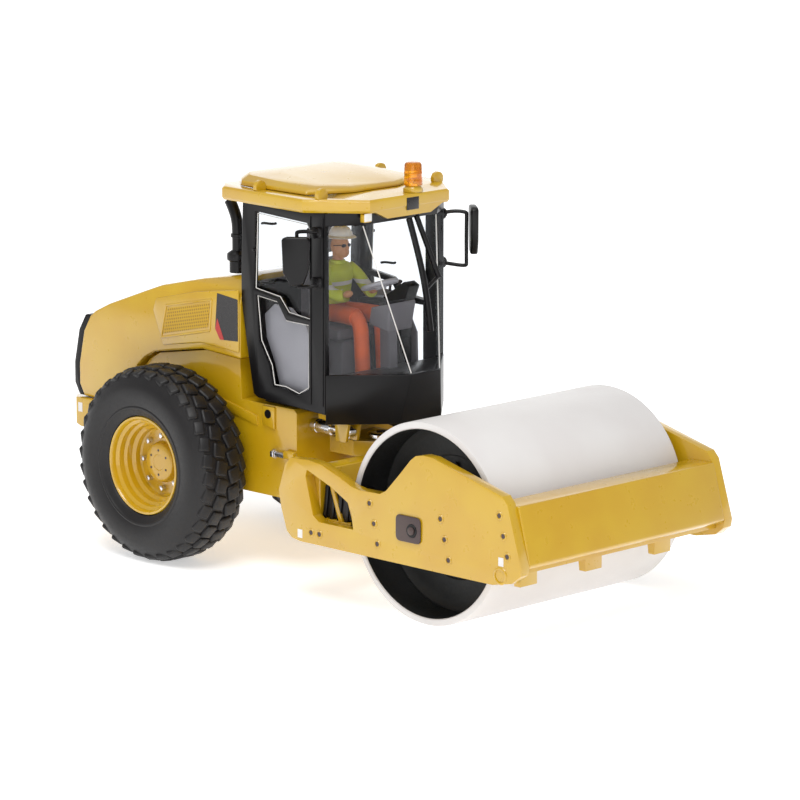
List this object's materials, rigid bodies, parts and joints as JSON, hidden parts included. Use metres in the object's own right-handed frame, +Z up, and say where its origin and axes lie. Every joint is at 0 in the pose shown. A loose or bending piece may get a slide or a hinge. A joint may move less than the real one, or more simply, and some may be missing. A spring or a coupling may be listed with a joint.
{
  "type": "toy road roller",
  "caption": "Toy road roller: smooth drum in a steered front frame, hinged to a rear frame with engine hood, glazed cab, operator and treaded tyres.",
  "frame": {"origin": "middle of the machine's length and width, on the ground under it", "axes": "+Z up, -Y towards the drum end, +X to the machine's right-hand side as its operator sits"},
  "size_m": [0.048, 0.109, 0.0646],
  "materials": {
    "enamel_yellow": "satin-gloss yellow enamel",
    "plastic_black": "satin black moulding",
    "rubber_mount": "matt",
    "tyre_rubber": "matt rubber",
    "steel_drum": "satin light grey paint",
    "metal_silver": "satin",
    "plastic_clear": "clear polished",
    "lens_amber": "clear amber",
    "plastic_grey": "matt grey moulding",
    "figure_orange": "matt paint",
    "figure_lime": "matt paint",
    "figure_skin": "matt paint",
    "figure_white": "satin paint"
  },
  "bodies": {
    "rear_frame": {"rear_chassis": "enamel_yellow", "rear_bumper": "enamel_yellow", "engine_hood": "enamel_yellow", "hood_vent_left": "enamel_yellow", "hood_vent_right": "enamel_yellow", "cab_roof": "enamel_yellow", "roof_cap": "enamel_yellow", "beacon_base": "enamel_yellow", "work_light": "enamel_yellow", "rear_grille": "plastic_black", "exhaust_stack": "plastic_black", "cab_floor": "plastic_black", "cab_front_panel": "plastic_black", "cab_frame_left": "plastic_black", "cab_frame_right": "plastic_black", "cab_header": "plastic_black", "cab_rear_wall": "plastic_black", "wiper": "plastic_black", "mirror_arm_left": "plastic_black", "mirror_arm_right": "plastic_black", "mirror_head_left": "plastic_black", "mirror_head_right": "plastic_black", "armrest_console": "plastic_black", "steering_cylinder_left": "metal_silver", "steering_cylinder_right": "metal_silver", "hitch_pin": "metal_silver", "windscreen": "plastic_clear", "corner_glass_left": "plastic_clear", "corner_glass_right": "plastic_clear", "door_glass_left": "plastic_clear", "door_glass_right": "plastic_clear", "lower_glass_left": "plastic_clear", "lower_glass_right": "plastic_clear", "rear_glass": "plastic_clear", "beacon_lens": "lens_amber", "seat_base": "plastic_grey", "seat_cushion": "plastic_grey", "seat_back": "plastic_grey", "steering_column": "plastic_grey", "steering_wheel": "plastic_grey", "operator_legs": "figure_orange", "operator_torso": "figure_lime", "operator_head": "figure_skin", "hard_hat": "figure_white"},
    "hitch": {"hitch_yoke": "enamel_yellow"},
    "front_frame": {"side_plate_left": "enamel_yellow", "side_plate_right": "enamel_yellow", "front_beam": "enamel_yellow", "scraper_bar": "enamel_yellow", "rear_crossmember": "enamel_yellow", "isolator_left": "rubber_mount", "isolator_right": "rubber_mount", "axle_cover_left": "plastic_black", "axle_cover_right": "plastic_black"},
    "drum": {"drum_tube": "steel_drum", "drum_core": "plastic_black"},
    "wheel_left": {"tyre_left": "tyre_rubber", "rim_left": "enamel_yellow"},
    "wheel_right": {"tyre_right": "tyre_rubber", "rim_right": "enamel_yellow"}
  },
  "joints": [
    {"name": "hitch_yaw", "type": "hinge", "parent": "rear_frame", "child": "hitch", "pos_m": [0, -0.003, 0.01575], "axis": [0, 0, 1], "range_deg": [-34, 34]},
    {"name": "hitch_oscillation", "type": "hinge", "parent": "hitch", "child": "front_frame", "pos_m": [0, -0.0095, 0.01575], "axis": [0, 1, 0], "range_deg": [-10, 10]},
    {"name": "drum_spin", "type": "hinge", "parent": "front_frame", "child": "drum", "pos_m": [0, -0.032, 0.01535], "axis": [1, 0, 0], "continuous": true},
    {"name": "wheel_left_spin", "type": "hinge", "parent": "rear_frame", "child": "wheel_left", "pos_m": [-0.01815, 0.028, 0.0155], "axis": [1, 0, 0], "continuous": true},
    {"name": "wheel_right_spin", "type": "hinge", "parent": "rear_frame", "child": "wheel_right", "pos_m": [0.01815, 0.028, 0.0155], "axis": [1, 0, 0], "continuous": true}
  ]
}
